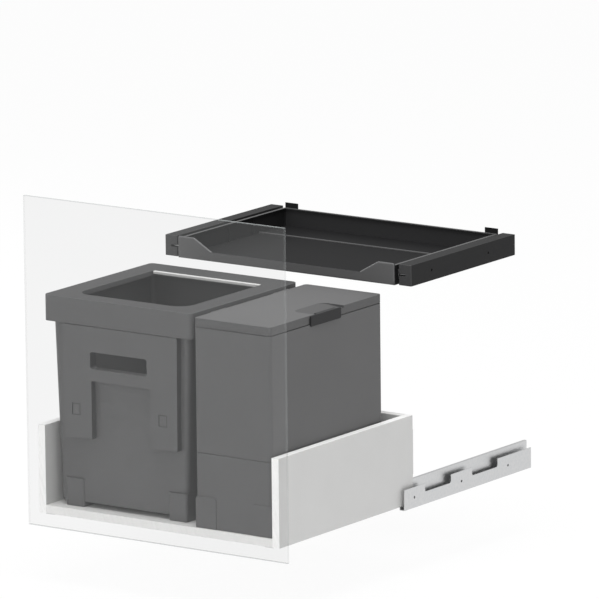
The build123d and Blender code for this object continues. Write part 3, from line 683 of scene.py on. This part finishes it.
# %% Dress the tray's faces
tray_low, tray_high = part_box("tray")
apron_depth = 0.012
apron_lean = 0.2
rim_height = 0.038
rim_slack = 0.0008
rim_lean = 0.3
wall_start = 0.3
apron_back = tray_low.y + apron_depth
rim_level = tray_low.z + rim_height

refinish("tray", "apron_painted_light", lambda face: (
    face.center.y < apron_back and face.normal.y < -apron_lean
))
refinish("tray", "tray_rim", lambda face: (
    face.center.z > rim_level - rim_slack
    and face.normal.z > rim_lean
    and face.center.y > apron_back
))
refinish("tray", "wall_painted_light", lambda face: (
    face.normal.y < -square_on and face.center.y > tray_low.y + wall_start
))

# %% [markdown]
# ## The bead on the tray's floor
# A raised bead runs across the floor in front of the back wall. It stops bottles from sliding back.
# A line drawn in the material would look flat from low down, so it is a bar between the side walls
# whose upper edges are rounded. It sinks a little into the floor, as a moulding would.

# %% Raise the bead
bead_from_back = 0.088
bead_width = 0.004
bead_height = 0.0026
bead_sunk = 0.0006
bead_round = 0.0012
wall_reach = 0.0022
tray_floor = 0.0025


def block(name, middle, size):
    """A cube scaled to a size, at its place, to be shaped further."""
    bpy.ops.object.select_all(action="DESELECT")
    bpy.ops.mesh.primitive_cube_add(size=1, location=middle, scale=size)
    piece = bpy.context.object
    piece.name = name
    bpy.ops.object.transform_apply(location=True, rotation=True, scale=True)
    return piece


def all_ends(piece, edge, test):
    """Whether a test is true for both ends of an edge."""
    return all(test(piece.data.vertices[index].co) for index in edge.vertices)


bead_size = Vector((
    tray_high.x - tray_low.x - 2 * wall_reach,
    bead_width,
    bead_height + bead_sunk,
))
bead_middle = Vector((
    (tray_low.x + tray_high.x) / 2,
    tray_high.y - bead_from_back,
    tray_low.z + tray_floor + (bead_height - bead_sunk) / 2,
))
bead = block("tray_floor_bead", bead_middle, bead_size)
edit_only(bead, "EDGE", lambda edge: all_ends(bead, edge, lambda end: end.z > bead_middle.z))
bpy.ops.mesh.bevel(offset=bead_round, segments=3, affect="EDGES")
bpy.ops.object.mode_set(mode="OBJECT")
# The bead wears the rim's paler finish, which is a painted highlight.
bead.data.materials.append(own_finishes["tray_rim"])
shade(bead)
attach(bead, "tray")
print("bead:", [round(side, 4) for side in bead.dimensions])

# %% [markdown]
# ## The clear front
# The front of the drawer is one sheet of clear acrylic, sawn to size, with its edges broken and
# polished. It starts as a cube that is scaled to the sheet. Its edges are bevelled in edit mode,
# and every face that belongs to the rim gets one of the two rim finishes.

# %% Make the clear front
rim_round = 0.0008
flat_on = 0.999
sheet_low, sheet_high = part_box("clear_front")
clear_panel = block("clear_front_sheet", (sheet_low + sheet_high) / 2, sheet_high - sheet_low)
edit_only(clear_panel, "EDGE", lambda edge: True)
bpy.ops.mesh.bevel(offset=rim_round, segments=3, affect="EDGES")
bpy.ops.object.mode_set(mode="OBJECT")
clear_panel.data.materials.append(slot_finishes["clear_acrylic"])
clear_panel.data.materials.append(own_finishes["long_rim"])
clear_panel.data.materials.append(own_finishes["short_rim"])
for face in clear_panel.data.polygons:
    if abs(face.normal.y) < flat_on:
        face.material_index = 1 if abs(face.normal.z) > abs(face.normal.x) else 2
shade(clear_panel)
hand_over(clear_panel, "clear_front")
print("clear front:", [round(side, 3) for side in clear_panel.dimensions])

# %% [markdown]
# ## Screws
# The boards, the brackets and the stand are held by pan-head screws with a cross recess.
# One screw is modelled for each length: a cylinder gives the head, its foot is inset and extruded
# to a shank with a point, and its crown is rounded.
# The cross is cut with a Boolean of two crossed bars. Copies of that one mesh then go where the
# model has screws.

# %% Where the screws go
def loose_boxes(node):
    """The lowest and highest corner of each loose part of a node."""
    joined_copy(node, "measured")
    bpy.ops.object.mode_set(mode="EDIT")
    bpy.ops.mesh.separate(type="LOOSE")
    bpy.ops.object.mode_set(mode="OBJECT")
    parts = list(bpy.context.selected_objects)
    boxes = []
    for part in parts:
        spots = [vertex.co for vertex in part.data.vertices]
        boxes.append(tuple(
            Vector([end(spot[axis] for spot in spots) for axis in range(3)]) for end in (min, max)
        ))
    for part in parts:
        bpy.data.objects.remove(part)
    return boxes


# %% Model one screw
head_radius = 0.004
head_height = 0.0016
head_sides = 32
crown_round = 0.6
shank_radius = 0.0018
point_length = shank_radius * 2
point_share = 0.15
cross_length = 0.0044
cross_width = 0.0009
cross_depth = 0.0011
hair = 1e-6


def crossed_bars():
    """The tool that cuts the recess: two bars through each other."""
    first, second = (
        block("recess_bar", (0, 0, 0), (*size, cross_depth * 2))
        for size in ((cross_length, cross_width), (cross_width, cross_length))
    )
    apply(first, "BOOLEAN", operation="UNION", object=second, solver="EXACT")
    bpy.data.objects.remove(second)
    return first


def extrude_down(distance):
    """Extrude the selected faces straight down."""
    bpy.ops.mesh.extrude_region_move(TRANSFORM_OT_translate={"value": (0, 0, -distance)})


def pan_screw(length):
    """One screw. Its crown is at the origin and its point looks down."""
    bpy.ops.object.select_all(action="DESELECT")
    bpy.ops.mesh.primitive_cylinder_add(
        vertices=head_sides, radius=head_radius, depth=head_height,
        location=(0, 0, -head_height / 2),
    )
    screw = bpy.context.object
    bpy.ops.object.transform_apply(location=True, rotation=True, scale=True)

    edit_only(screw, "FACE", lambda face: face.normal.z < -square_on)
    bpy.ops.mesh.inset(thickness=head_radius - shank_radius)
    extrude_down(length - point_length)
    extrude_down(point_length)
    bpy.ops.transform.resize(value=(point_share, point_share, 1))
    bpy.ops.object.mode_set(mode="OBJECT")

    def on_crown(end):
        return abs(end.z) < hair and end.xy.length > head_radius * square_on

    edit_only(screw, "EDGE", lambda edge: all_ends(screw, edge, on_crown))
    bpy.ops.mesh.bevel(offset=head_height * crown_round, segments=4, affect="EDGES")
    bpy.ops.object.mode_set(mode="OBJECT")
    recess = crossed_bars()
    apply(screw, "BOOLEAN", operation="DIFFERENCE", object=recess, solver="EXACT")
    bpy.data.objects.remove(recess)
    return screw


# %% Copy the screw to its places
screws = {
    "rear_bracket_screws": Vector((0, 1, 0)),
    "floor_screws": Vector((0, 0, -1)),
    "stand_screws": Vector((0, 0, -1)),
}
for node, outward in screws.items():
    boxes = loose_boxes(node)
    length = abs((boxes[0][1] - boxes[0][0]).dot(outward)) - head_height
    model = pan_screw(length)
    turn = Vector((0, 0, 1)).rotation_difference(outward).to_matrix().to_4x4()
    copies = []
    for lowest, highest in boxes:
        middle = (lowest + highest) / 2
        crown = middle + outward * (abs((highest - lowest).dot(outward)) / 2)
        mesh = model.data.copy()
        mesh.transform(Matrix.Translation(crown) @ turn)
        copies.append(bpy.data.objects.new("screw", mesh))
        bpy.context.scene.collection.objects.link(copies[-1])
    bpy.data.objects.remove(model)
    pick(copies[0])
    for copy in copies:
        copy.select_set(True)
    bpy.ops.object.join()
    group = bpy.context.object
    group.name = f"{node}_pan_head"
    group.data.materials.clear()
    group.data.materials.append(slot_finishes["zinc_steel"])
    shade(group)
    hand_over(group, node)
    print(node, len(copies), "screws of", round(length * 1000, 1), "mm")

# %% [markdown]
# ## Floor and light
# The object stands on white. The floor looks white to the camera, to gloss and to clear plastic,
# and the world looks white to the camera. Neither needs more light on the object for that.
# The lamps stay plain. They fall mostly from above, so tops are lighter than sides.
# A lamp at the left and behind draws a thin light line down the rounded corners.

# %% Floor
floor_level = -0.1224
floor_width = 60
floor_glow = 0.94


def floor_white():
    """A pale floor that keeps the object's shadow and is seen as white."""
    finish = Finish("floor_white")
    ray = finish.node("ShaderNodeLightPath")
    seen = Tone(finish, ray.outputs["Is Camera Ray"]).highest(ray.outputs["Is Glossy Ray"])
    seen = seen.highest(ray.outputs["Is Transmission Ray"])
    glow = finish.node("ShaderNodeEmission", inputs={"Color": (1, 1, 1, 1), "Strength": 1.0})
    finish.set(Base_Color=(0.8, 0.8, 0.8, 1), Roughness=0.9)
    inputs = {0: seen * floor_glow, 1: finish.shader.outputs[0], 2: glow.outputs[0]}
    mix = finish.node("ShaderNodeMixShader", inputs=inputs)
    finish.feed(finish.output.inputs["Surface"], mix.outputs[0])
    return finish.material


bpy.ops.object.select_all(action="DESELECT")
bpy.ops.mesh.primitive_plane_add(size=floor_width, location=(0, 0, floor_level))
floor = bpy.context.object
floor.name = "floor"
bpy.ops.object.transform_apply(location=True, rotation=True, scale=True)
floor.data.materials.append(floor_white())
print("floor at", floor_level, "m")

# %% World
room_light = 0.68
seen_white = 1.0

world = bpy.data.worlds.new("studio")
bpy.context.scene.world = world
world.use_nodes = True
sky = world.node_tree
sky.nodes.clear()


def backdrop(strength):
    """Plain white light of one strength."""
    background = sky.nodes.new("ShaderNodeBackground")
    background.inputs["Color"].default_value = (1, 1, 1, 1)
    background.inputs["Strength"].default_value = strength
    return background.outputs[0]


ray = sky.nodes.new("ShaderNodeLightPath")
choose = sky.nodes.new("ShaderNodeMixShader")
world_output = sky.nodes.new("ShaderNodeOutputWorld")
sky.links.new(ray.outputs["Is Camera Ray"], choose.inputs[0])
sky.links.new(backdrop(room_light), choose.inputs[1])
sky.links.new(backdrop(seen_white), choose.inputs[2])
sky.links.new(choose.outputs[0], world_output.inputs[0])
print("room light:", room_light)


# %% Lamps
def lamp(name, spot, aim, size, power):
    """A round lamp of a size in metres and a power in watts, turned to a point."""
    data = bpy.data.lights.new(name, "AREA")
    data.shape = "DISK"
    data.size = size
    data.energy = power
    made = bpy.data.objects.new(name, data)
    bpy.context.scene.collection.objects.link(made)
    made.location = spot
    made.rotation_euler = (Vector(aim) - Vector(spot)).to_track_quat("-Z", "Y").to_euler()


lamp("overhead", spot=(0.5, -0.5, 3.8), aim=(0, -0.1, 0.2), size=2.4, power=118)
lamp("front_fill", spot=(-1.2, -4.0, 1.5), aim=(0, -0.2, 0.3), size=2.4, power=16)
lamp("right_fill", spot=(1.8, -3.9, 1.2), aim=(0, -0.2, 0.3), size=1.6, power=17)
lamp("left_rim", spot=(-3.4, 1.2, 1.5), aim=(-0.2, -0.2, 0.25), size=1.4, power=34)

# %% [markdown]
# ## Finish
# The view transform is set to Standard.

# %% Finish
bpy.context.scene.view_settings.view_transform = "Standard"
